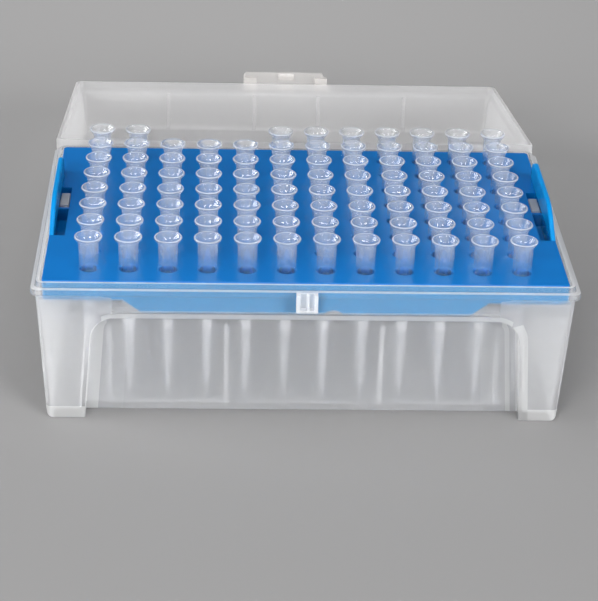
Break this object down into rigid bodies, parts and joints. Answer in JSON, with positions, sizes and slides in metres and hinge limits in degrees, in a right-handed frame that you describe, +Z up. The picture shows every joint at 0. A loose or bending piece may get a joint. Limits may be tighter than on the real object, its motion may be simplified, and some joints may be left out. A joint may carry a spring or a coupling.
{
  "type": "pipette tip box",
  "caption": "Hinged open box of translucent polypropylene with a blue drop-in rack plate that holds a grid of small pipette tips; the lid lies open behind it.",
  "frame": {"origin": "centre of the base's footprint, on the surface that it stands on", "axes": "+X along the long side with the latch side towards the viewer and the row of twelve tips running to +X; +Y from the latch side to the hinge side; +Z up"},
  "size_m": [0.1248, 0.171, 0.044],
  "materials": {
    "box_clear": "frosted translucent polypropylene, satin",
    "plate_blue": "glossy blue polypropylene",
    "tip_clear": "translucent polypropylene, satin"
  },
  "bodies": {
    "box": {"base": "box_clear", "rack_plate": "plate_blue", "tips_column_01": "tip_clear", "tips_column_02": "tip_clear", "tips_column_03": "tip_clear", "tips_column_04": "tip_clear", "tips_column_05": "tip_clear", "tips_column_06": "tip_clear", "tips_column_07": "tip_clear", "tips_column_08": "tip_clear", "tips_column_09": "tip_clear", "tips_column_10": "tip_clear", "tips_column_11": "tip_clear", "tips_column_12": "tip_clear"},
    "lid": {"lid": "box_clear"}
  },
  "joints": [
    {"name": "lid_hinge", "type": "hinge", "parent": "box", "child": "lid", "pos_m": [0, 0.0427, 0.0351], "axis": [1, 0, 0], "range_deg": [0, 190.5]}
  ]
}
